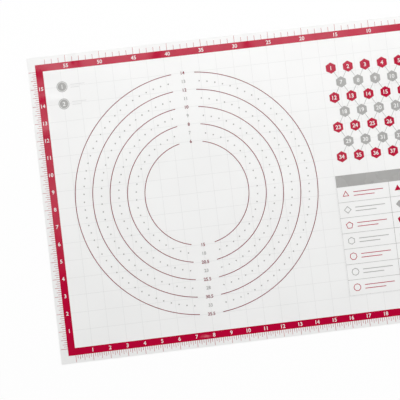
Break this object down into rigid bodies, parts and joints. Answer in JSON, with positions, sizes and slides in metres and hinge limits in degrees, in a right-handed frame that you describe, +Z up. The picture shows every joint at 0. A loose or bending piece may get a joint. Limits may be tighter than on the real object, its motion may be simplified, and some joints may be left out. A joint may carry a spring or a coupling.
{
  "type": "silicone baking mat",
  "caption": "Flat flexible rectangular pastry mat of coated glass cloth, printed with edge scales, a grid, concentric size rings, a spot chart and a ruled note table.",
  "frame": {"origin": "middle of the underside, on the surface that the mat lies on", "axes": "+X along the long side, the way the bottom inch scale counts; +Y up the sheet, the way the left inch scale counts; +Z up from the worktop, out of the printed face"},
  "size_m": [0.6278, 0.45, 0.0008],
  "materials": {
    "underside_silicone": "matt translucent silicone with a cloth texture",
    "glass_cloth": "plain weave glass-fibre cloth",
    "face_silicone": "smooth satin white silicone",
    "red_ink": "satin crimson silicone ink",
    "dark_red_ink": "satin dark red silicone ink",
    "grey_ink": "satin warm grey silicone ink",
    "grid_ink": "satin pale grey silicone ink"
  },
  "bodies": {
    "root": {"silicone_underside": "underside_silicone", "glass_cloth_core": "glass_cloth", "silicone_face": "face_silicone", "grid_lines_across": "grid_ink", "grid_lines_up": "grid_ink", "border_band": "red_ink", "inch_scale_bottom": "red_ink", "inch_scale_left": "red_ink", "centimetre_scale_top": "red_ink", "centimetre_scale_right": "red_ink", "ring_14_inch": "dark_red_ink", "ring_12_inch": "dark_red_ink", "ring_10_inch": "dark_red_ink", "ring_8_inch": "dark_red_ink", "ring_6_inch": "dark_red_ink", "dotted_ring_13_inch": "grey_ink", "dotted_ring_11_inch": "grey_ink", "dotted_ring_9_inch": "grey_ink", "dotted_ring_7_inch": "grey_ink", "corner_badges": "grey_ink", "badge_lines": "grid_ink", "spot_chart_red": "red_ink", "spot_chart_grey": "grey_ink", "spot_chart_links": "grey_ink", "note_table_header": "grey_ink", "note_table_rules": "grey_ink", "note_marks_red": "red_ink", "note_marks_grey": "grey_ink", "note_lines_red": "red_ink", "note_lines_grey": "grey_ink"}
  },
  "joints": []
}
